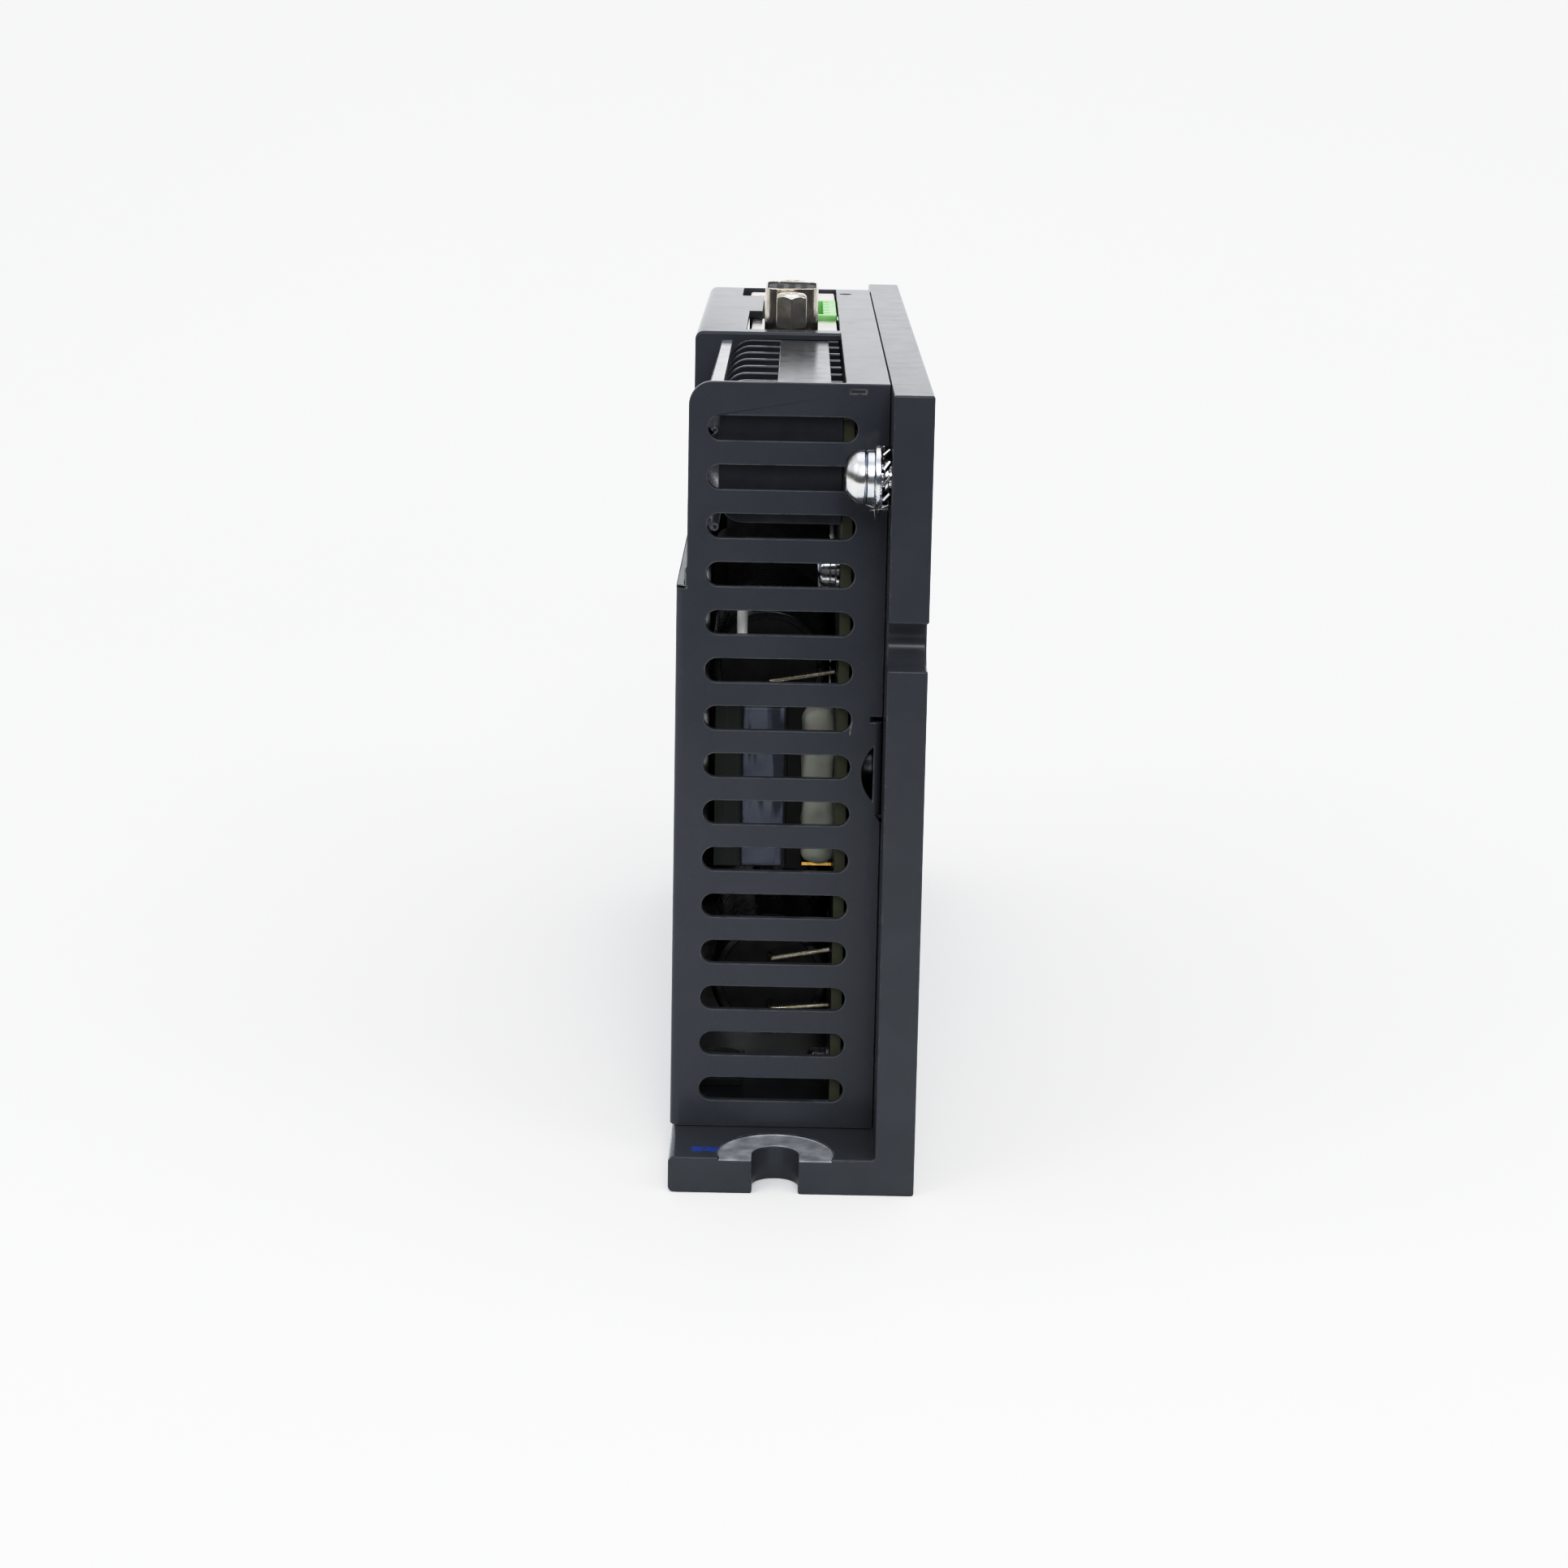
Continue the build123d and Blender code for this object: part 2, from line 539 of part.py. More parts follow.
def dsub_contacts():
    made = []
    for x, y, bend in dsub_pins():
        pin = rod_z(x, y, 0.56, 111.0, DSUB_TOP - 0.8) - rod_z(x, y, 0.36, 114.0, DSUB_TOP)
        pin += block((x - 0.25, x + 0.25), (y - 0.25, y + 0.25), (bend - 0.25, 111.0))
        pin += block((x - 0.25, BOARD_L), (y - 0.25, y + 0.25), (bend - 0.25, bend + 0.25))
        made.append(pin)
    return made


def dsub_jackscrews():
    made = []
    seat = PANEL_UNDER - 0.05
    for side in (-1, 1):
        y = DSUB_Y + side * JACK_PITCH / 2
        corner = JACK_AF / 2 / math.cos(math.pi / 6)
        hexagon = Pos(DSUB_X, y, seat) * Rot(0, 0, 30) * RegularPolygon(corner, 6)
        nut = extrude(hexagon, amount=JACK_TOP - seat)
        nut = nut & (rod_z(DSUB_X, y, corner + 1, seat, JACK_TOP - 0.75)
                     + cone_z(DSUB_X, y, corner + 0.05, corner - 0.85, JACK_TOP - 0.75, JACK_TOP))
        nut += rod_z(DSUB_X, y, 1.42, 110.2, seat)
        made.append(nut - rod_z(DSUB_X, y, 1.2, JACK_TOP - 4.5, JACK_TOP + 1))
    return made


# ---- motor header and modular jack --------------------------------------------------------------------------
def header_ways():
    middle = sum(HEADER_Y) / 2
    return [middle + (i - 2) * HEADER_PITCH for i in range(5)]


def motor_header():
    body = block(HEADER_X, HEADER_Y, HEADER_Z)
    body -= block((-5.6, 3.2), (HEADER_Y[0] + 1.3, HEADER_Y[1] - 1.3), (106.0, HEADER_Z[1] + 1))
    for y in header_ways():
        body -= block((3.1, 4.3), (y - 0.9, y + 0.9), (108.0, HEADER_Z[1] + 1))
        body -= block((PIN_X, PIN_X + 1.0), (y - 0.5, y + 0.5), (102.0, 107.0))
    for y in header_ways():
        body += block((-6.0, -5.6), (y - 1.3, y + 1.3), (112.0, 114.6))
    return body


def motor_header_pins():
    made = []
    for y in header_ways():
        pin = block((PIN_X, PIN_X + 1.0), (y - 0.5, y + 0.5), (101.0, 113.6))
        pin = chamfer(pin.edges().group_by(Axis.Z)[-1], 0.3)
        made.append(pin + block((PIN_X + 1.0, BOARD_L), (y - 0.5, y + 0.5), (101.0, 102.0)))
    return made


def modular_jack():
    middle = sum(MOD_Y) / 2
    body = block(MOD_X, MOD_Y, MOD_Z)
    body = chamfer(body.edges().group_by(Axis.Z)[-1], 0.25)
    body -= block((-6.9, 1.1), (middle - 5.9, middle + 5.9), (101.0, MOD_Z[1] + 1))
    body -= block((-8.4, -6.9), (middle - 3.1, middle + 3.1), (103.0, MOD_Z[1] + 1))
    body -= block((-9.2, -8.4), (middle - 2.0, middle + 2.0), (103.0, MOD_Z[1] + 1))
    return body


def jack_contacts():
    """Eight sloping spring wires along the board side of the jack's cavity."""
    made = []
    middle = sum(MOD_Y) / 2
    for i in range(8):
        y = middle + (i - 3.5) * 1.27
        outline = [(1.05, 113.6), (1.05, 113.1), (-1.7, 104.6), (-2.0, 105.0), (0.6, 113.6)]
        made.append(prism_y(outline, y - 0.23, y + 0.23))
    return made


def light_pipe():
    base = block((BOARD_L + 0.1, 8.6), (LED_Y - 1.6, LED_Y + 1.6), (BOARD_Z[1], BOARD_Z[1] + 1.6))
    pipe = rod_z(LED_X, LED_Y, 0.95, BOARD_Z[1] + 1.6, HEIGHT - 3.0)
    return base + pipe


def status_led():
    return block((BOARD_R, BOARD_R + 0.8), (LED_Y - 0.8, LED_Y + 0.8), (108.4, 110.2))


# ---- parts on the main board --------------------------------------------------------------------------------
def capacitor(place):
    """Aluminium can in a sleeve, lying along Y, with its rubber base to the front."""
    x, z, front = place
    can = rod_y(x, z, CAP_R, front, front + CAP_LONG)
    can = fillet(can.edges().filter_by(GeomType.CIRCLE), 0.8)
    can -= rod_y(x, z, CAP_R - CAP_RECESS, front - 1, front + 0.7)
    groove = rod_y(x, z, CAP_R + 1, front + 3.0, front + 4.0)
    groove -= rod_y(x, z, CAP_R - 0.5, front + 2, front + 5)
    return can - groove


def capacitor_bungs():
    made = []
    for x, z, front in (CAP_LOWER, CAP_UPPER):
        bung = rod_y(x, z, CAP_R - CAP_RECESS, front - 0.2, front + 0.7)
        for side in (-1, 1):
            bung -= rod_y(x, z + side * LEAD_PITCH / 2, LEAD_R + 0.02, front - 2, front + 2)
        made.append(bung)
    return made


def capacitor_leads():
    """Wire leads that come out of each base and turn over to the board."""
    made = []
    for (x, z, front), side, run_low, run_high in LEAD_RUNS:
        start = (x, front + 0.6, z + side * LEAD_PITCH / 2)
        clear = (x, front - 0.9, z + side * LEAD_PITCH / 2)
        corner = (x, front - LEAD_OUT, run_low)
        path = FilletPolyline(start, clear, corner, (BOARD_L - 0.1, front - LEAD_OUT, run_high), radius=0.5)
        made.append(sweep(Plane(origin=start, z_dir=(0, -1, 0)) * Circle(LEAD_R), path=path))
    return made


def sleeved_link():
    """White-sleeved wire loop that stands off the board in front of the upper capacitor."""
    start = (BOARD_L - 0.1, LINK_Y, LINK_Z[1])
    end = (BOARD_L - 0.1, LINK_Y, LINK_Z[0])
    path = FilletPolyline(start, (LINK_X, LINK_Y, LINK_Z[1]), (LINK_X, LINK_Y, LINK_Z[0]), end, radius=1.1)
    return sweep(Plane(origin=start, z_dir=(-1, 0, 0)) * Circle(LINK_R), path=path)


def daughter_board():
    return block(DAUGHTER_X, (DAUGHTER_Y, DAUGHTER_Y + BOARD_T), DAUGHTER_Z)


def driver_hybrid():
    """Moulded driver circuit on the front of the upright board."""
    body = block((-8.4, -1.9), (DAUGHTER_Y - 2.2, DAUGHTER_Y), (DAUGHTER_Z[0] + 0.6, DAUGHTER_Z[1] - 0.6))
    return chamfer(body.edges().group_by(Axis.Y)[0], 0.3)


def header_strip():
    """Black strip that carries the upright board, with its row of pins to the main board."""
    return block((DAUGHTER_X[1], 0.9), (DAUGHTER_Y - 1.2, DAUGHTER_Y + 2.6), DAUGHTER_Z)


def header_strip_pins():
    count = 11
    made = []
    for i in range(count):
        z = sum(DAUGHTER_Z) / 2 + (i - (count - 1) / 2) * 2.54
        made.append(block((0.9, BOARD_L), (DAUGHTER_Y + 0.5, DAUGHTER_Y + 1.1), (z - 0.3, z + 0.3)))
    return made


def adhesive_bead():
    """Run of white silicone that holds the strip to the board."""
    y0 = DAUGHTER_Y - 3.6
    y1 = DAUGHTER_Y + 0.2
    body = block((0.95, BOARD_L), (y0, y1), (DAUGHTER_Z[0] + 1.8, DAUGHTER_Z[1] - 0.6))
    ends = body.edges().filter_by(Axis.Y)
    body = fillet(ends, 1.6)
    return fillet(body.edges().group_by(Axis.Y)[0], 0.9)


def transformer_core():
    """E-core with two windows; its outer legs face the front and the rear."""
    core = block(CORE_X, CORE_Y, CORE_Z)
    window_z = (CORE_Z[0] + 6.0, CORE_Z[1] - 6.0)
    for y in ((-3.6, 3.4), (8.6, 15.6)):
        core -= block((CORE_X[0] - 1, CORE_X[1] + 1), y, window_z)
    return core


def transformer_coil():
    """Taped winding around the core's middle leg."""
    body = rounded_y(COIL_X, (CORE_Z[0] + 6.3, CORE_Z[1] - 6.3), 2.0, -3.3, 15.3)
    return body - block((CORE_X[0] - 0.1, CORE_X[1] + 0.1), (3.3, 8.7), CORE_Z)


def transformer_pins():
    made = []
    for y in (-1.5, 6.0, 13.5):
        for z in (48.0, 60.0, 72.0):
            made.append(rod_x(y, z, 0.4, COIL_X[1], BOARD_L))
    return made


def bridge_rectifier():
    body = block((-7.0, 5.0), (30.0, 50.0), (24.0, 28.0))
    body = chamfer(body.edges().group_by(Axis.Z)[-1], 0.4)
    for i in range(4):
        body += block((5.0, BOARD_L), (32.0 + 5.0 * i, 33.0 + 5.0 * i), (25.5, 26.3))
    return body


def fuse_tube():
    tube = rod_z(-1.2, 34.0, 2.5, 62.0, 70.0)
    return tube - rod_z(-1.2, 34.0, 1.9, 61.0, 71.0)


def fuse_caps():
    made = []
    for z in ((57.0, 62.0), (70.0, 75.0)):
        cap = rod_z(-1.2, 34.0, 2.6, z[0], z[1])
        made.append(cap + block((1.0, BOARD_L), (32.6, 35.4), (z[0] + 1.0, z[0] + 4.0)))
    return made


def filter_choke():
    ring = rod_x(54.0, 62.0, 10.0, -7.5, 5.4) - rod_x(54.0, 62.0, 4.2, -8.0, 6.0)
    return fillet(ring.edges().filter_by(GeomType.CIRCLE), 2.0)


def control_chips():
    """Surface-mount controllers and gate drivers on the component face."""
    made = []
    chips = [((54.0, 68.0), (24.0, 38.0)), ((-34.0, -24.0), (46.0, 56.0)), ((26.0, 32.0), (84.0, 94.0)),
             ((44.0, 50.0), (84.0, 92.0)), ((8.0, 13.0), (88.0, 96.0)), ((-12.0, -4.0), (20.0, 30.0)),
             ((8.0, 16.0), (20.0, 30.0))]
    for y, z in chips:
        chip = block((BOARD_L - 1.7, BOARD_L), y, z)
        made.append(chamfer(chip.edges().group_by(Axis.X)[0], 0.25))
    return made


def small_parts():
    """Chip resistors and capacitors beside the controllers."""
    made = []
    for row in range(3):
        for i in range(6):
            y = 22.0 + 5.0 * i
            z = 12.0 + 3.2 * row
            made.append(block((BOARD_L - 0.6, BOARD_L), (y, y + 2.0), (z, z + 1.25)))
    return made


# ---- power stage on the mounting plate ----------------------------------------------------------------------
def device_centres():
    return [-46.0 + 13.0 * i for i in range(8) if abs(-46.0 + 13.0 * i - 2.0) > 8.0]


def thermal_pad():
    return block((PLATE_IN - 0.3, PLATE_IN), (-54.0, 52.0), (20.0, 40.0))


def power_transistors():
    made = []
    face = PLATE_IN - 0.3
    for y in device_centres():
        tab = block((face - 1.3, face), (y - 5.0, y + 5.0), (22.0, 38.0))
        tab -= rod_x(y, 35.0, 1.9, face - 3, face + 1)
        moulding = block((face - 4.4, face - 1.3), (y - 5.0, y + 5.0), (22.0, 31.5))
        pieces = [tab, moulding]
        for leg_y in (y - LEG_PITCH, y, y + LEG_PITCH):
            leg = (leg_y - 0.4, leg_y + 0.4)
            pieces.append(block((face - 2.9, face - 2.4), leg, (18.5, 22.0)))
            pieces.append(block((BOARD_R, face - 2.4), leg, (18.0, 18.5)))
        made.append(fused(pieces))
    return made


# ---- protective-earth screw ---------------------------------------------------------------------------------
def earth_screw():
    """Domed head with a cross recess, made by turning its outline about the screw's axis."""
    free, seat = EARTH_HEAD
    dome = [(free + x, r) for x, r in EARTH_DOME]
    rim = [(free + x, r) for x, r in EARTH_RIM]
    outline = Polyline((free, 0), dome[0]) + Spline(*dome, tangents=((0.25, 1), (1, 0.1)))
    outline += Polyline(dome[-1], rim[0], rim[1], (seat, 0), (free, 0))
    head = Pos(0, EARTH_Y, EARTH_Z) * revolve(make_face(outline), Axis.X)
    screw = head + rod_x(EARTH_Y, EARTH_Z, M4_R, seat - 0.5, OUT_X - 0.6)
    return screw - cross_recess_x(EARTH_Y, EARTH_Z, free, 2.1, 1.8)


def earth_spring_washer():
    return split_ring_x(EARTH_Y, EARTH_Z, 2.15, 3.8, 8.87, 9.92)


def earth_flat_washer():
    ring = rod_x(EARTH_Y, EARTH_Z, 4.5, 9.94, 10.82)
    ring = fillet(ring.edges().filter_by(GeomType.CIRCLE), 0.2)
    return ring - rod_x(EARTH_Y, EARTH_Z, 2.15, 9, 12)


def earth_lock_washer():
    """External-tooth washer: a thin ring with twisted teeth."""
    ring = rod_x(EARTH_Y, EARTH_Z, 3.3, 11.25, 11.8) - rod_x(EARTH_Y, EARTH_Z, 2.15, 11, 12)
    count = 12
    for i in range(count):
        tooth = Pos(11.5, 0, 3.75) * Rot(0, 0, -36) * Box(0.45, 1.65, 1.5)
        ring += Pos(0, EARTH_Y, EARTH_Z) * Rot(360 / count * i, 0, 0) * tooth
    limit = block((10.84, PLATE_IN - 0.02), (EARTH_Y - 6, EARTH_Y + 6), (EARTH_Z - 6, EARTH_Z + 6))
    return ring & limit


# ---- write every node ---------------------------------------------------------------------------------------
save("heatsink_bracket", heatsink_bracket())
save("cover", cover())
save("cover_screws", *cover_screws())
save("cover_nuts", *cover_nuts())
save("main_board", main_board())
save("board_standoffs", *board_standoffs())
save("board_screws", *board_screws())
save("board_washers", *board_washers())
save("terminal_block", terminal_block())
save("terminal_contacts", *[terminal_contact(y) for y in pole_centres()])
for number, pole_y in enumerate(pole_centres(), 1):
    save(f"terminal_screw_{number}", terminal_screw(pole_y))
    save(f"terminal_washer_{number}", terminal_washer(pole_y))
save("terminal_guard", terminal_guard())
save("encoder_shell", dsub_shell())
save("encoder_insulator", dsub_insulator())
save("encoder_contacts", *dsub_contacts())
save("encoder_jackscrews", *dsub_jackscrews())
save("motor_header", motor_header())
save("motor_header_pins", *motor_header_pins())
save("modular_jack", modular_jack())
save("jack_contacts", *jack_contacts())
save("light_pipe", light_pipe())
save("status_led", status_led())
save("capacitor_lower", capacitor(CAP_LOWER))
save("capacitor_upper", capacitor(CAP_UPPER))
save("capacitor_bungs", *capacitor_bungs())
save("capacitor_leads", *capacitor_leads())
save("sleeved_link", sleeved_link())
save("daughter_board", daughter_board())
save("driver_hybrid", driver_hybrid())
save("header_strip", header_strip())
save("header_strip_pins", *header_strip_pins())
save("adhesive_bead", adhesive_bead())
save("transformer_core", transformer_core())
save("transformer_coil", transformer_coil())
save("transformer_pins", *transformer_pins())
save("bridge_rectifier", bridge_rectifier())
save("fuse_tube", fuse_tube())
save("fuse_caps", *fuse_caps())
save("filter_choke", filter_choke())
save("control_chips", *control_chips())
save("small_parts", *small_parts())
save("thermal_pad", thermal_pad())
save("power_transistors", *power_transistors())
save("earth_screw", earth_screw())
save("earth_spring_washer", earth_spring_washer())
save("earth_flat_washer", earth_flat_washer())
save("earth_lock_washer", earth_lock_washer())
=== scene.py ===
"""Stepper motor driver module: looks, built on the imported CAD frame. Metres, Z up, camera looking along +Y."""
import json
import math

import bmesh
import bpy
from mathutils import Matrix, Vector, noise

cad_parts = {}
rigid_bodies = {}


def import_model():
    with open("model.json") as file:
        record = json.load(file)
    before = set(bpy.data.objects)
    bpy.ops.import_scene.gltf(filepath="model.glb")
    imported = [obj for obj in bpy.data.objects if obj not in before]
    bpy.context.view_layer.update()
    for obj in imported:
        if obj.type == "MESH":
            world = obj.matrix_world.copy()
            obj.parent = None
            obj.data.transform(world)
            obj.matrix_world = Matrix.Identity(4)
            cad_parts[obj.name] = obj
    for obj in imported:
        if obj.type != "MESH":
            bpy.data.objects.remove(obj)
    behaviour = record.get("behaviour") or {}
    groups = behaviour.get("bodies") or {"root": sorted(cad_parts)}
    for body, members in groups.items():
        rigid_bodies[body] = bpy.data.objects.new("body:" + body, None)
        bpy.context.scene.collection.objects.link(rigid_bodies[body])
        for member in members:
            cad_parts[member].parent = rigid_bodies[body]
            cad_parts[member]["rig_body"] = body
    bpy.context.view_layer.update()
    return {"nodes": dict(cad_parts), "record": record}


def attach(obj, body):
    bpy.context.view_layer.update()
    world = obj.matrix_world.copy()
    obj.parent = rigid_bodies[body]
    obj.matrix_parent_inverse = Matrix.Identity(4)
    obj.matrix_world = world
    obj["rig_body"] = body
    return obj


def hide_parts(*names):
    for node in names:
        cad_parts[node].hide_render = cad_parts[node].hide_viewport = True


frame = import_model()
MM = 0.001

# ---- camera, floor and light --------------------------------------------------------------------------------
CAM_PLACE = (-1.2 * MM, -523.9 * MM, 167.8 * MM)
CAM_DOWN = math.radians(11.41)
CAM_YAW = math.radians(-0.14)
CAM_ROLL = math.radians(1.08)
CAM_LENS = 72.95
CAM_SHIFT = -0.0859
CAM_CLIP = (0.02, 30.0)

FLOOR_HALF = 2.4                    # half width of the paper sweep
FLOOR_FRONT = -0.36                 # the paper ends in front of the object, below the camera's view
SWEEP_START = 0.36                  # where the paper starts to rise
SWEEP_RADIUS = 0.42
SWEEP_TOP = 1.9
SWEEP_STEPS = 24

SKY_COLOUR = (0.95, 0.97, 1.0)
SKY_HIGH = 0.85                     # ceiling bounce
SKY_LOW = 0.14                      # dim room towards the camera, near the horizon
SKY_FLOOR_LINE = (0.12, 0.42)       # height of the view direction over which dim turns to bright
PALE = 1.0                          # what the camera sees past the paper
LIGHTS = (                          # place, aim, size, watts
    ("key_left", (-0.95, -0.85, 1.15), (0, -0.1, 0.03), 0.8, 3.2),
    ("key_right", (0.95, -0.75, 1.2), (0, -0.1, 0.03), 0.8, 2.8),
    ("front_box", (0.1, -1.15, 0.95), (0, -0.25, 0.0), 0.7, 4.0),
    ("front_low", (0.15, -1.5, 0.75), (0, -0.05, 0.05), 0.3, 2.6),
    ("overhead", (0.0, 0.25, 1.7), (0, 0.1, 0), 1.3, 4.0),
)
FILM = ((0.0, 0.0), (0.04, 0.026), (0.16, 0.17), (0.36, 0.58), (0.52, 0.80), (0.8, 0.94), (1.0, 1.0))
FILM_WHITE = 1.25                   # radiance that the film curve takes to full white
ALL_CHANNELS = 3                    # the curve mapping's combined curve


def linear(r, g, b):
    """Linear colour from 0 to 255 display values."""
    def one(v):
        v = v / 255
        return v / 12.92 if v <= 0.04045 else ((v + 0.055) / 1.055) ** 2.4
    return (one(r), one(g), one(b), 1.0)


def make_camera():
    data = bpy.data.cameras.new("camera")
    data.lens = CAM_LENS
    data.shift_y = CAM_SHIFT
    data.clip_start, data.clip_end = CAM_CLIP
    cam = bpy.data.objects.new("camera", data)
    turn = Matrix.Rotation(-CAM_YAW, 4, "Z") @ Matrix.Rotation(math.pi / 2 - CAM_DOWN, 4, "X")
    cam.matrix_world = Matrix.Translation(CAM_PLACE) @ turn @ Matrix.Rotation(CAM_ROLL, 4, "Z")
    bpy.context.scene.collection.objects.link(cam)
    bpy.context.scene.camera = cam


def add_mesh(name, verts, faces):
    mesh = bpy.data.meshes.new(name)
    mesh.from_pydata([tuple(v) for v in verts], [], faces)
    for p in mesh.polygons:
        p.use_smooth = True
    obj = bpy.data.objects.new(name, mesh)
    bpy.context.scene.collection.objects.link(obj)
    return obj


def make_sweep():
    """Paper floor that curves up into a wall behind the object."""
    profile = [(FLOOR_FRONT, 0.0), (0.0, 0.0), (SWEEP_START, 0.0)]
    for i in range(1, SWEEP_STEPS + 1):
        a = math.pi / 2 * i / SWEEP_STEPS
        profile.append((SWEEP_START + SWEEP_RADIUS * math.sin(a), SWEEP_RADIUS * (1 - math.cos(a))))
    profile.append((SWEEP_START + SWEEP_RADIUS, SWEEP_TOP))
    verts = [(x, y, z) for y, z in profile for x in (-FLOOR_HALF, FLOOR_HALF)]
    faces = [(2 * i, 2 * i + 1, 2 * i + 3, 2 * i + 2) for i in range(len(profile) - 1)]
    sweep = add_mesh("paper_sweep", verts, faces)
    mat = Look("paper", colour=(0.93, 0.925, 0.92, 1), rough=0.75)
    mat.tint(((0.92, 0.92, 0.925, 1), (0.945, 0.94, 0.935, 1)), scale=2.5, detail=3)
    mat.bump(scale=900, strength=0.05, depth=0.00004)
    sweep.data.materials.append(mat.mat)


def make_lights():
    scene = bpy.context.scene
    world = bpy.data.worlds.new("studio")
    world.use_nodes = True
    tree = world.node_tree
    back = tree.nodes["Background"]
    back.inputs["Color"].default_value = (*SKY_COLOUR, 1)
    towards = tree.nodes.new("ShaderNodeSeparateXYZ")
    tree.links.new(tree.nodes.new("ShaderNodeTexCoord").outputs["Generated"], towards.inputs[0])
    height = tree.nodes.new("ShaderNodeMapRange")
    tree.links.new(towards.outputs["Z"], height.inputs["Value"])
    height.interpolation_type = "SMOOTHSTEP"
    for key, value in zip(("From Min", "From Max", "To Min", "To Max"), (*SKY_FLOOR_LINE, SKY_LOW, SKY_HIGH)):
        height.inputs[key].default_value = value
    seen = tree.nodes.new("ShaderNodeLightPath")
    pale = tree.nodes.new("ShaderNodeMix")
    tree.links.new(seen.outputs["Is Camera Ray"], pale.inputs["Factor"])
    tree.links.new(height.outputs["Result"], pale.inputs[2])
    pale.inputs[3].default_value = PALE
    tree.links.new(pale.outputs[0], back.inputs["Strength"])
    scene.world = world
    scene.view_settings.view_transform = "Standard"
    scene.view_settings.use_curve_mapping = True
    film = scene.view_settings.curve_mapping
    film.white_level = (FILM_WHITE,) * 3
    points = film.curves[ALL_CHANNELS].points
    for x, y in FILM[1:-1]:
        points.new(x, y)
    film.update()
    for name, place, aim, size, watts in LIGHTS:
        data = bpy.data.lights.new(name, "AREA")
        data.shape = "DISK"
        data.size = size
        data.energy = watts
        lamp = bpy.data.objects.new(name, data)
        lamp.location = place
        lamp.rotation_euler = (Vector(aim) - Vector(place)).to_track_quat("-Z", "Y").to_euler()
        scene.collection.objects.link(lamp)


# ---- materials ----------------------------------------------------------------------------------------------
EDGE_TURN = (0.985, 0.80)           # cosines between which a rounded normal counts as an edge
NOISE_REACH = (0.3, 0.7)            # the part of a noise's range that roughness follows
INK_X = (-0.0143, -0.0102)          # a stroke of marker pen on the foot
INK_Y = (-0.0876, -0.0856)
INK_SOFT = 0.0002


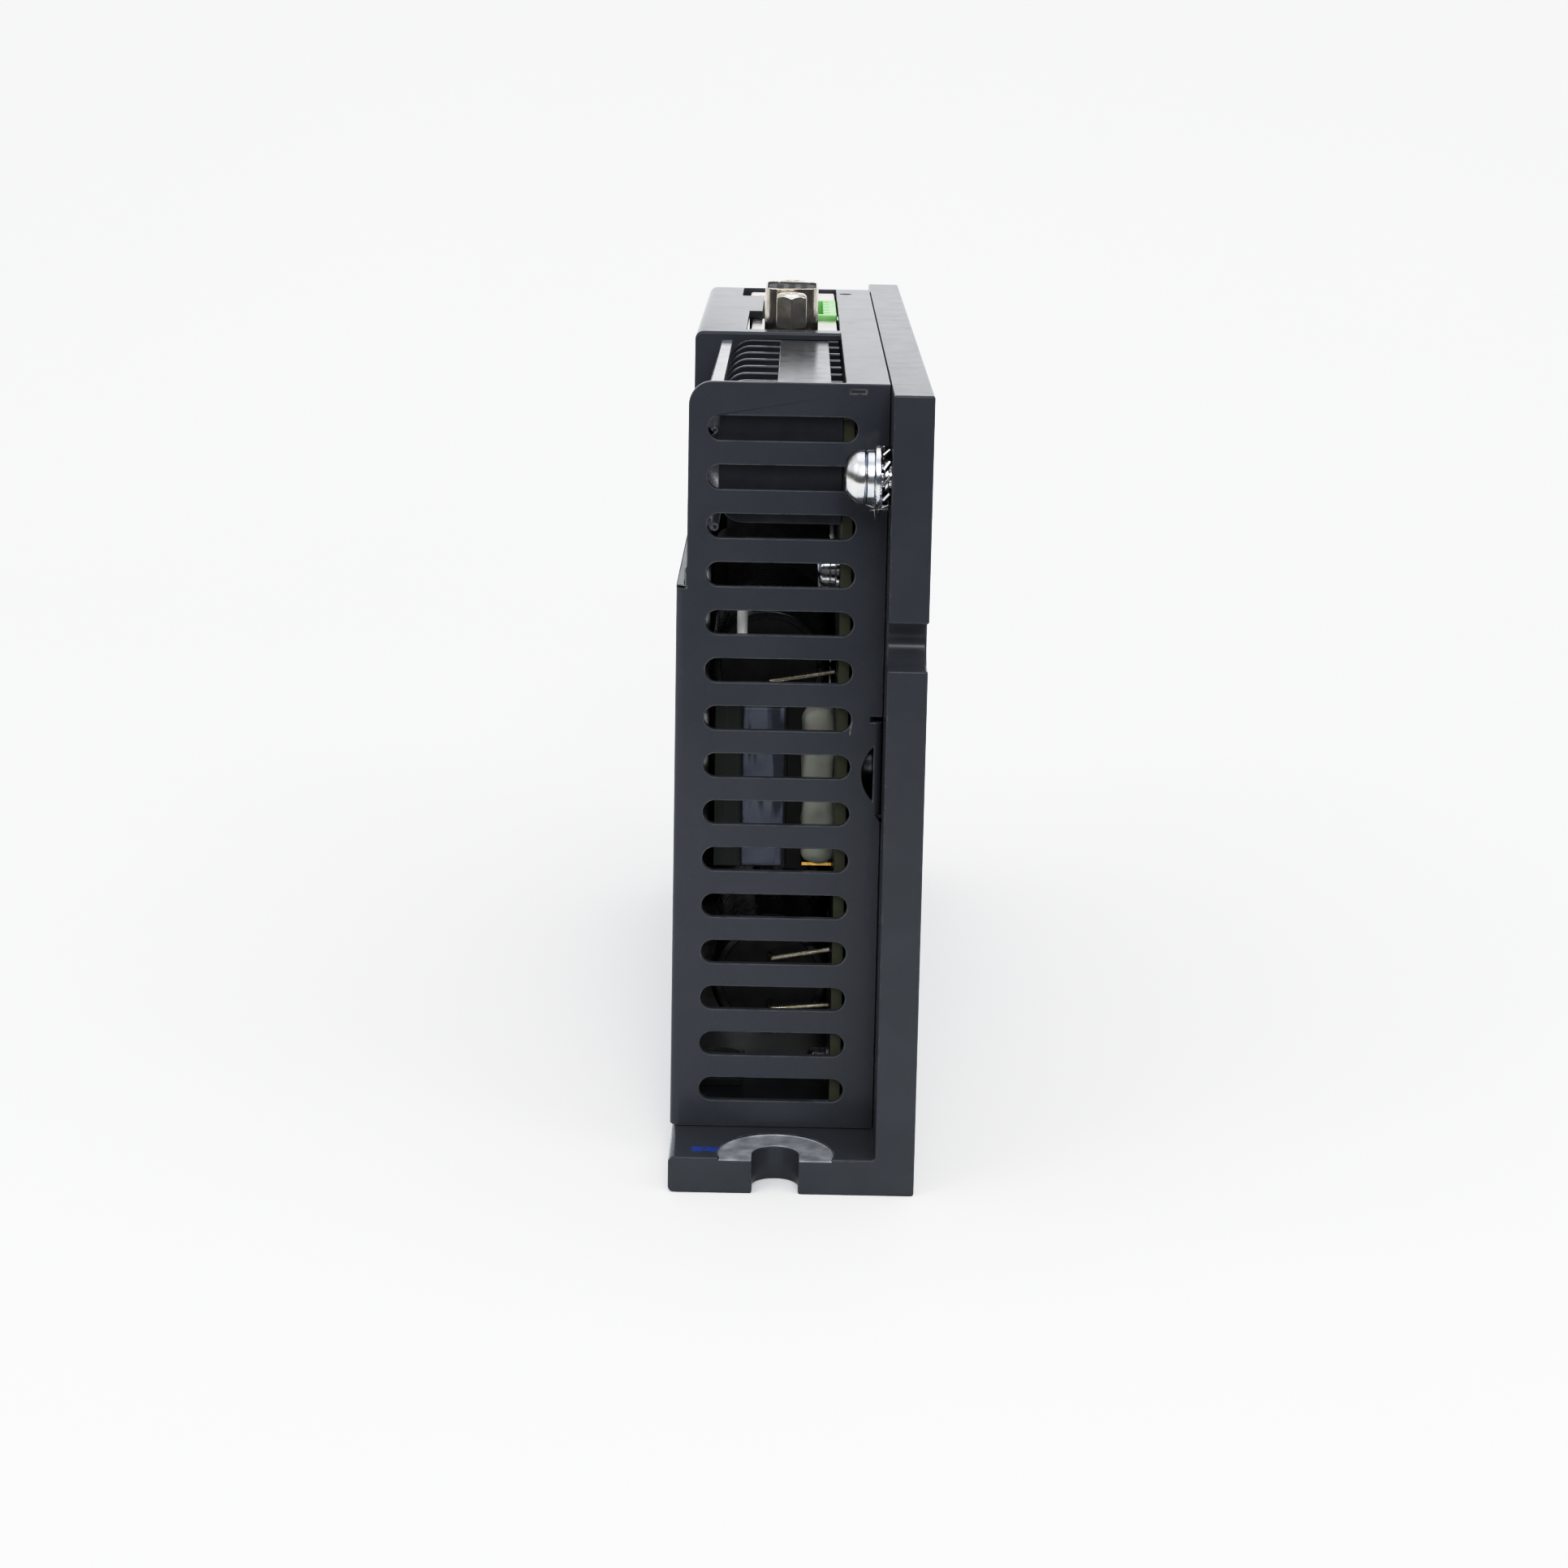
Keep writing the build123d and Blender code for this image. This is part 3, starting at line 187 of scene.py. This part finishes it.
class Look:
    """A Principled material built up from procedural layers in object space, so it moves with its piece."""

    def __init__(self, name, colour, rough=0.5, metal=0.0, ior=1.5, **sockets):
        self.mat = bpy.data.materials.new(name)
        self.mat.use_nodes = True
        self.tree = self.mat.node_tree
        self.bsdf = self.tree.nodes["Principled BSDF"]
        self.set("Base Color", colour)
        self.set("Roughness", rough)
        self.set("Metallic", metal)
        self.set("IOR", ior)
        for key, value in sockets.items():
            self.set(key.replace("_", " "), value)
        self.coords = self.node("ShaderNodeTexCoord").outputs["Object"]
        self.colour = None
        self.base = colour
        self.rough = rough
        self.normal = None

    def set(self, socket, value):
        self.bsdf.inputs[socket].default_value = value

    def node(self, kind, **props):
        n = self.tree.nodes.new(kind)
        for key, value in props.items():
            setattr(n, key, value)
        return n

    def link(self, source, target):
        self.tree.links.new(source, target)

    def place(self, stretch=(1, 1, 1), shift=(0, 0, 0)):
        """Object coordinates, stretched and shifted."""
        m = self.node("ShaderNodeMapping")
        m.inputs["Scale"].default_value = stretch
        m.inputs["Location"].default_value = shift
        self.link(self.coords, m.inputs["Vector"])
        return m.outputs["Vector"]

    def noise(self, scale, detail=4.0, rough=0.55, stretch=(1, 1, 1), shift=(0, 0, 0)):
        n = self.node("ShaderNodeTexNoise")
        n.inputs["Scale"].default_value = scale
        n.inputs["Detail"].default_value = detail
        n.inputs["Roughness"].default_value = rough
        self.link(self.place(stretch, shift), n.inputs["Vector"])
        return n.outputs["Fac"]

    def cells(self, scale, shift=(0, 0, 0)):
        """Distance to the nearest of a scatter of points."""
        n = self.node("ShaderNodeTexVoronoi")
        n.inputs["Scale"].default_value = scale
        self.link(self.place((1, 1, 1), shift), n.inputs["Vector"])
        return n.outputs["Distance"]

    def span(self, source, low, high, to_low=0.0, to_high=1.0):
        """source from low to high becomes to_low to to_high, held beyond them."""
        n = self.node("ShaderNodeMapRange")
        self.link(source, n.inputs["Value"])
        for key, value in zip(("From Min", "From Max", "To Min", "To Max"), (low, high, to_low, to_high)):
            n.inputs[key].default_value = value
        return n.outputs["Result"]

    def maths(self, op, a, b):
        n = self.node("ShaderNodeMath", operation=op)
        for i, value in enumerate((a, b)):
            if isinstance(value, (int, float)):
                n.inputs[i].default_value = value
            else:
                self.link(value, n.inputs[i])
        return n.outputs[0]

    def axis(self, index):
        """One object coordinate."""
        n = self.node("ShaderNodeSeparateXYZ")
        self.link(self.coords, n.inputs[0])
        return n.outputs[index]

    def inside(self, index, limits, soft):
        """1 where an object coordinate is between two limits."""
        value = self.axis(index)
        above = self.span(value, limits[0] - soft, limits[0] + soft)
        below = self.span(value, limits[1] - soft, limits[1] + soft, 1, 0)
        return self.maths("MULTIPLY", above, below)

    def normal_axis(self, index):
        """One component of the surface normal in object space."""
        n = self.node("ShaderNodeTexCoord")
        s = self.node("ShaderNodeSeparateXYZ")
        self.link(n.outputs["Normal"], s.inputs[0])
        return s.outputs[index]

    def mix(self, fac, a, b):
        """Colours a and b mixed by fac; each is a colour or an output."""
        n = self.node("ShaderNodeMix", data_type="RGBA")
        self.link(fac, n.inputs["Factor"])
        for socket, value in ((n.inputs[6], a), (n.inputs[7], b)):
            if isinstance(value, (tuple, list)):
                socket.default_value = value
            else:
                self.link(value, socket)
        return n.outputs[2]

    def over(self, fac, colour):
        """Lays a colour over what is there, where fac is high."""
        self.colour = self.mix(fac, self.colour if self.colour is not None else self.base, colour)
        self.link(self.colour, self.bsdf.inputs["Base Color"])

    def tint(self, pair, scale, detail=4.0, low=0.35, high=0.65, stretch=(1, 1, 1)):
        """Base colour that wanders between two colours."""
        self.colour = self.mix(self.span(self.noise(scale, detail, stretch=stretch), low, high), *pair)
        self.link(self.colour, self.bsdf.inputs["Base Color"])

    def rough_range(self, low, high, scale, detail=4.0, stretch=(1, 1, 1), shift=(3, 1, 2)):
        fac = self.noise(scale, detail, stretch=stretch, shift=shift)
        self.rough = self.span(fac, *NOISE_REACH, low, high)
        self.link(self.rough, self.bsdf.inputs["Roughness"])

    def rough_where(self, fac, value):
        """Roughness goes to value where fac is high."""
        n = self.node("ShaderNodeMix", data_type="FLOAT")
        self.link(fac, n.inputs["Factor"])
        if isinstance(self.rough, float):
            n.inputs[2].default_value = self.rough
        else:
            self.link(self.rough, n.inputs[2])
        n.inputs[3].default_value = value
        self.rough = n.outputs[0]
        self.link(self.rough, self.bsdf.inputs["Roughness"])

    def relief(self, height, strength, depth):
        n = self.node("ShaderNodeBump")
        n.inputs["Strength"].default_value = strength
        n.inputs["Distance"].default_value = depth
        self.link(height, n.inputs["Height"])
        if self.normal is not None:
            self.link(self.normal, n.inputs["Normal"])
        self.normal = n.outputs["Normal"]
        self.link(self.normal, self.bsdf.inputs["Normal"])

    def bump(self, scale, strength, depth, detail=3.0, stretch=(1, 1, 1)):
        self.relief(self.noise(scale, detail, stretch=stretch), strength, depth)

    def edges(self, radius):
        """1 on sharp convex or concave edges within radius, 0 elsewhere."""
        soft = self.node("ShaderNodeBevel", samples=4)
        soft.inputs["Radius"].default_value = radius
        hard = self.node("ShaderNodeNewGeometry")
        dot = self.node("ShaderNodeVectorMath", operation="DOT_PRODUCT")
        self.link(soft.outputs["Normal"], dot.inputs[0])
        self.link(hard.outputs["Normal"], dot.inputs[1])
        return self.span(dot.outputs["Value"], *EDGE_TURN)

    def edge_wear_and_sheen(self, radius, colour, scale=900, low=0.45, high=0.62):
        """Paler broken line along the edges: partly wear, partly a painted highlight where the edges catch the
        light.
        """
        mask = self.maths("MULTIPLY", self.edges(radius), self.span(self.noise(scale, 5), low, high))
        self.over(mask, colour)

    def specks(self, scale, size, colour, share=0.35, shift=(0, 0, 0)):
        """Small round dots, fewer where a slow noise is low."""
        dots = self.span(self.cells(scale, shift), size, size * 0.6)
        keep = self.span(self.noise(scale * 0.21, 2, shift=(7, 3, 5)), 1 - share, 1 - share + 0.03)
        mask = self.maths("MULTIPLY", dots, keep)
        self.over(mask, colour)


def look_bracket():
    m = Look("bracket_anodised", linear(66, 69, 74), rough=0.4, Specular_IOR_Level=0.22)
    m.tint((linear(65, 68, 73), linear(68, 71, 76)), scale=140, detail=6)
    grain = m.noise(5200, 2, 0.7)
    m.over(m.span(grain, 0.62, 0.78, 0, 0.4), linear(98, 102, 106))
    m.rough_range(0.20, 0.23, 260)
    m.bump(3800, 0.025, 0.00004, 2)
    m.edge_wear_and_sheen(0.0004, linear(128, 132, 136), 700, 0.5, 0.66)
    m.specks(420, 0.085, linear(215, 215, 215), 0.36)
    ink = m.maths("MULTIPLY", m.inside(0, INK_X, INK_SOFT), m.inside(1, INK_Y, INK_SOFT))
    ink = m.maths("MULTIPLY", ink, m.span(m.noise(1800, 3), 0.34, 0.5))
    m.over(ink, linear(52, 78, 150))
    return m.mat


def look_bare_metal():
    """Machined spot face: bare aluminium with a fine noisy texture."""
    m = Look("spot_face_metal", linear(165, 168, 172), rough=0.5, metal=0.45)
    m.tint((linear(150, 153, 157), linear(188, 190, 194)), scale=380, detail=5)
    m.rough_range(0.44, 0.58, 900)
    m.bump(2600, 0.3, 0.00003, 2, (1, 1, 0.2))
    return m.mat


def look_cover():
    m = Look("cover_paint", linear(68, 71, 77), rough=0.4, Specular_IOR_Level=0.2)
    m.tint((linear(67, 70, 76), linear(70, 73, 79)), scale=120, detail=6)
    m.over(m.span(m.noise(4200, 2, 0.7), 0.6, 0.8, 0, 0.3), linear(94, 97, 102))
    m.rough_range(0.185, 0.21, 150)
    m.bump(2400, 0.02, 0.00004, 3)
    # Paler broken edge line: partly edge wear, partly a painted highlight along edges that catch the light, such
    # as the vents' lower edges.
    m.edge_wear_and_sheen(0.00026, linear(150, 150, 146), 500, 0.34, 0.5)
    m.specks(330, 0.05, linear(150, 150, 150), 0.3)
    return m.mat


def look_oxide():
    m = Look("black_oxide", linear(34, 34, 37), rough=0.34, metal=0.6)
    m.tint((linear(26, 26, 28), linear(58, 58, 60)), scale=700)
    m.bump(3000, 0.2, 0.00002)
    m.edge_wear_and_sheen(0.00015, linear(130, 130, 132), 1800)
    return m.mat


def look_zinc():
    m = Look("zinc_plate", linear(205, 208, 214), rough=0.2, metal=1.0)
    m.tint((linear(188, 194, 206), linear(222, 220, 214)), scale=420, detail=5)
    m.rough_range(0.14, 0.3, 900)
    m.bump(1500, 0.12, 0.00003)
    return m.mat


def look_zinc_in_painted_shade():
    """Zinc of the clinch nuts, rougher than the screws', its colour darkened as painted shade for the shadowed
    notch they sit in.
    """
    m = Look("zinc_in_painted_shade", linear(96, 98, 102), rough=0.4, metal=1.0)
    m.tint((linear(70, 72, 76), linear(124, 126, 130)), scale=620, detail=5)
    m.rough_range(0.32, 0.5, 900)
    m.bump(1500, 0.15, 0.00003)
    return m.mat


def look_nickel():
    m = Look("nickel_plate", linear(196, 190, 180), rough=0.16, metal=1.0)
    m.tint((linear(180, 174, 162), linear(208, 203, 195)), scale=300, detail=5)
    m.rough_range(0.10, 0.24, 800)
    m.bump(900, 0.1, 0.00003)
    m.edge_wear_and_sheen(0.00012, linear(236, 232, 226), 1500)
    return m.mat


def look_brass():
    m = Look("tinned_brass", linear(198, 184, 140), rough=0.3, metal=1.0)
    m.tint((linear(180, 168, 128), linear(208, 200, 170)), scale=500)
    m.bump(2000, 0.12, 0.00002)
    return m.mat


def look_gold():
    m = Look("gold_flash", linear(222, 184, 108), rough=0.22, metal=1.0)
    m.tint((linear(206, 168, 96), linear(232, 200, 128)), scale=900)
    m.bump(3000, 0.08, 0.00001)
    return m.mat


def look_tin():
    m = Look("tinned_wire", linear(196, 190, 172), rough=0.3, metal=1.0)
    m.tint((linear(168, 160, 138), linear(212, 208, 196)), scale=700)
    m.rough_range(0.22, 0.45, 1500)
    m.bump(1800, 0.25, 0.00003)
    return m.mat


def look_board(name, broad):
    """Solder mask over glass cloth: fine weave, paler tracks, olive cut edge; broad faces across one axis."""
    m = Look(name, linear(72, 84, 76), rough=0.34)
    m.tint((linear(66, 78, 70), linear(86, 96, 88)), scale=120, detail=3)
    tracks = m.node("ShaderNodeTexBrick")
    tracks.inputs["Scale"].default_value = 300
    tracks.inputs["Mortar Size"].default_value = 0.03
    m.link(m.place((1, 0.6, 1)), tracks.inputs["Vector"])
    m.over(m.maths("MULTIPLY", tracks.outputs["Fac"], 0.5), linear(92, 106, 88))
    edge = m.maths("LESS_THAN", m.maths("ABSOLUTE", m.normal_axis(broad), 0), 0.5)
    m.over(edge, linear(84, 86, 68))
    m.rough_where(edge, 0.7)
    m.bump(2400, 0.2, 0.00003, 2, (1, 1, 0.5))
    return m.mat


def look_plastic(name, dark, light, rough, grain, grain_depth, edge_colour, ior=1.5, relief=0.2, **sockets):
    m = Look(name, dark, rough=rough, ior=ior, **sockets)
    m.tint((dark, light), scale=160, detail=5)
    m.rough_range(rough * 0.85, rough * 1.2, 420)
    m.bump(grain, relief, grain_depth, 2)
    m.edge_wear_and_sheen(0.0002, edge_colour, 1200, 0.4, 0.62)
    return m.mat


def look_guard():
    """Semi-clear moulded sheet, glossy, with a milky body."""
    m = Look("guard_sheet", linear(200, 202, 210), rough=0.2, ior=1.5)
    m.set("Transmission Weight", 0.75)
    m.tint((linear(194, 197, 206), linear(212, 214, 220)), scale=90)
    m.rough_range(0.1, 0.2, 300)
    m.bump(700, 0.05, 0.00003)
    return m.mat


def look_clear(name, tone, rough=0.05):
    m = Look(name, tone, rough=rough, ior=1.5)
    m.set("Transmission Weight", 0.9)
    m.tint((tone, linear(235, 238, 240)), scale=300)
    m.bump(1200, 0.05, 0.00001)
    return m.mat


def look_sleeve():
    """Shrunk capacitor sleeve: glossy, with fine shrink waves."""
    m = Look("capacitor_sleeve", linear(24, 26, 30), rough=0.22)
    m.tint((linear(20, 22, 26), linear(34, 36, 42)), scale=120)
    m.bump(260, 0.18, 0.00006, 2, (1, 0.15, 1))
    m.rough_range(0.16, 0.32, 500)
    return m.mat


def look_ferrite():
    m = Look("ferrite", linear(40, 40, 43), rough=0.55)
    m.tint((linear(32, 32, 35), linear(58, 57, 58)), scale=500, detail=6)
    m.bump(2600, 0.4, 0.00005)
    m.edge_wear_and_sheen(0.0003, linear(96, 95, 94), 900)
    return m.mat


def look_tape():
    m = Look("coil_tape", linear(44, 40, 34), rough=0.36)
    m.tint((linear(38, 34, 29), linear(56, 51, 42)), scale=140)
    m.bump(520, 0.3, 0.00005, 1, (0.1, 0.1, 1))
    return m.mat


def look_hybrid():
    """Dipped epoxy over a ceramic substrate: blue-grey, with darker bars where the chips lie under it."""
    m = Look("hybrid_epoxy", linear(152, 160, 182), rough=0.4)
    m.tint((linear(140, 149, 171), linear(168, 175, 194)), scale=160, detail=5)
    bars = m.span(m.noise(420, 2, stretch=(1, 1, 0.14), shift=(2, 5, 1)), 0.56, 0.62, 0, 0.75)
    m.over(bars, linear(58, 62, 74))
    m.rough_range(0.34, 0.5, 420)
    m.bump(1500, 0.2, 0.00005, 2)
    m.edge_wear_and_sheen(0.0002, linear(186, 192, 206), 1200, 0.4, 0.62)
    m.specks(600, 0.06, linear(40, 46, 64), 0.3)
    return m.mat


LOOKS = {
    "bracket_black": look_bracket(),
    "cover_black": look_cover(),
    "black_oxide_steel": look_oxide(),
    "zinc_steel": look_zinc(),
    "nickel": look_nickel(),
    "brass_plated": look_brass(),
    "gold_plated": look_gold(),
    "tin_wire": look_tin(),
    "board_green": look_board("board_mask", 0),
    "terminal_black": look_plastic("terminal_moulding", linear(44, 47, 54), linear(54, 57, 64), 0.19,
                                   1800, 0.00002, linear(150, 152, 158), ior=1.6, relief=0.05),
    "guard_clear": look_guard(),
    "black_plastic": look_plastic("black_moulding", linear(26, 26, 28), linear(36, 36, 38), 0.42,
                                  2400, 0.00003, linear(84, 84, 86)),
    "green_plastic": look_plastic("green_moulding", linear(138, 190, 128), linear(156, 206, 144), 0.36,
                                  2200, 0.00003, linear(176, 226, 166), Subsurface_Weight=0.15,
                                  Subsurface_Scale=0.002),
    "cream_plastic": look_plastic("cream_moulding", linear(222, 208, 200), linear(232, 220, 214), 0.36,
                                  2200, 0.00003, linear(246, 240, 236), Subsurface_Weight=0.15,
                                  Subsurface_Scale=0.002),
    "clear_plastic": look_clear("light_pipe_plastic", linear(225, 230, 232), 0.08),
    "led_white": look_plastic("led_body", linear(226, 222, 196), linear(236, 234, 216), 0.4,
                              2600, 0.00002, linear(244, 242, 230)),
    "capacitor_sleeve": look_sleeve(),
    "rubber_black": look_plastic("bung_rubber", linear(34, 34, 34), linear(48, 47, 46), 0.62,
                                 1500, 0.00005, linear(70, 70, 70)),
    "hybrid_grey": look_hybrid(),
    "silicone_white": look_plastic("silicone_bead", linear(226, 226, 214), linear(240, 240, 230), 0.45,
                                   500, 0.0001, linear(214, 212, 200), Subsurface_Weight=0.3,
                                   Subsurface_Scale=0.003),
    "ferrite": look_ferrite(),
    "coil_tape": look_tape(),
    "sleeve_white": look_plastic("white_sleeving", linear(244, 244, 241), linear(252, 252, 250), 0.4,
                                 900, 0.00004, linear(248, 248, 246)),
    "fuse_glass": look_clear("fuse_tube_glass", linear(215, 222, 225), 0.03),
    "chip_black": look_plastic("chip_epoxy", linear(30, 30, 33), linear(42, 42, 45), 0.5,
                               2600, 0.00004, linear(84, 84, 86)),
    "ceramic_tan": look_plastic("ceramic_bodies", linear(150, 124, 88), linear(178, 150, 110), 0.45,
                                2000, 0.00003, linear(196, 190, 176)),
    "pad_grey": look_plastic("thermal_pad", linear(150, 154, 160), linear(168, 172, 178), 0.7,
                             2600, 0.00005, linear(180, 184, 190)),
}


# ---- pieces -------------------------------------------------------------------------------------------------
BEVEL_DEFAULT = 0.12
BEVELS = {                          # edge radius of each node, mm
    "heatsink_bracket": 0.30,
    "cover": 0.16,
    "terminal_block": 0.22,
    "terminal_guard": 0.12,
    "encoder_shell": 0.14,
    "encoder_jackscrews": 0.16,
    "encoder_insulator": 0.12,
    "motor_header": 0.18,
    "modular_jack": 0.25,
    "main_board": 0.08,
    "daughter_board": 0.08,
    "driver_hybrid": 0.25,
    "transformer_core": 0.35,
    "header_strip_pins": 0.06,
    "encoder_contacts": 0.04,
    "jack_contacts": 0.05,
    "small_parts": 0.05,
    "thermal_pad": 0.05,
}
SHARP = math.radians(28)
WELD = 0.002 * MM                   # vertices nearer than this are one
FLAT = math.radians(0.6)            # faces that turn less than this are one
SPOT_LEVEL = 5.05 * MM              # spot faces round the foot's notches
SPOT_SLACK = 0.05 * MM
SPOT_RIM = 5.42 * MM
SPOT_NEAR = 76.0 * MM               # their reach along the foot
SPOT_FAR = 88.5 * MM
BEAD_CELL = 0.4 * MM
BEAD_SOFTEN = 3                     # rounds of smoothing
BEAD_WAVE = 0.5 * MM
LOOK_OF = {"daughter_board": look_board("daughter_mask", 1), "cover_nuts": look_zinc_in_painted_shade()}
SLOT_OF = {part["node"]: part["material_slot"] for part in frame["record"]["subparts"]}


def is_spot(face):
    """True for a machined face: the floor of a spot face, or its rim."""
    centre = face.calc_center_median()
    level = abs(centre.z - SPOT_LEVEL) < SPOT_SLACK
    rim = SPOT_LEVEL < centre.z < SPOT_RIM and abs(face.normal.z) < 0.3 and SPOT_NEAR < abs(centre.y) < SPOT_FAR
    return level or rim


def round_edges(piece, radius):
    bevel = piece.modifiers.new("rounded_edges", "BEVEL")
    bevel.width = radius
    bevel.segments = 2
    bevel.limit_method = "ANGLE"
    bevel.angle_limit = SHARP
    bevel.use_clamp_overlap = False
    bevel.harden_normals = True


def sealant(source):
    """The bead's plain block remade as an uneven, rounded run of sealant."""
    block = bpy.data.objects.new("bead_block", source.data.copy())
    bpy.context.scene.collection.objects.link(block)
    remesh = block.modifiers.new("remesh", "REMESH")
    remesh.mode = "VOXEL"
    remesh.voxel_size = BEAD_CELL
    graph = bpy.context.evaluated_depsgraph_get()
    mesh = bpy.data.meshes.new_from_object(block.evaluated_get(graph))
    bpy.data.objects.remove(block)
    bm = bmesh.new()
    bm.from_mesh(mesh)
    bpy.data.meshes.remove(mesh)
    for _ in range(BEAD_SOFTEN):
        bmesh.ops.smooth_vert(bm, verts=bm.verts, factor=0.5, use_axis_x=True, use_axis_y=True, use_axis_z=True)
    bm.normal_update()
    for v in bm.verts:
        wave = noise.noise(v.co * 300) + 0.4 * noise.noise(v.co * 700)
        v.co += v.normal * (wave + 0.45) * BEAD_WAVE
    return bm


def refine(node):
    """A copy of a CAD node with merged flat faces, rounded edges and its finish."""
    source = frame["nodes"][node]
    soft = node == "adhesive_bead"
    if soft:
        bm = sealant(source)
    else:
        bm = bmesh.new()
        bm.from_mesh(source.data)
        bmesh.ops.remove_doubles(bm, verts=bm.verts, dist=WELD)
        bmesh.ops.dissolve_limit(bm, angle_limit=FLAT, verts=bm.verts, edges=bm.edges)
    for face in bm.faces:
        face.smooth = True
        if node == "heatsink_bracket" and is_spot(face):
            face.material_index = 1
    for edge in bm.edges:
        if not soft and len(edge.link_faces) == 2 and edge.calc_face_angle(0) > SHARP:
            edge.smooth = False
    mesh = bpy.data.meshes.new(node + "_fine")
    bm.to_mesh(mesh)
    bm.free()
    piece = bpy.data.objects.new(node + "_fine", mesh)
    bpy.context.scene.collection.objects.link(piece)
    mesh.materials.append(LOOK_OF.get(node, LOOKS[SLOT_OF[node]]))
    if node == "heatsink_bracket":
        mesh.materials.append(look_bare_metal())
    if not soft:
        round_edges(piece, BEVELS.get(node, BEVEL_DEFAULT) * MM)
    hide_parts(node)
    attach(piece, source["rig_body"])
    return piece


make_camera()
make_sweep()
make_lights()
fine = {node: refine(node) for node in frame["nodes"]}
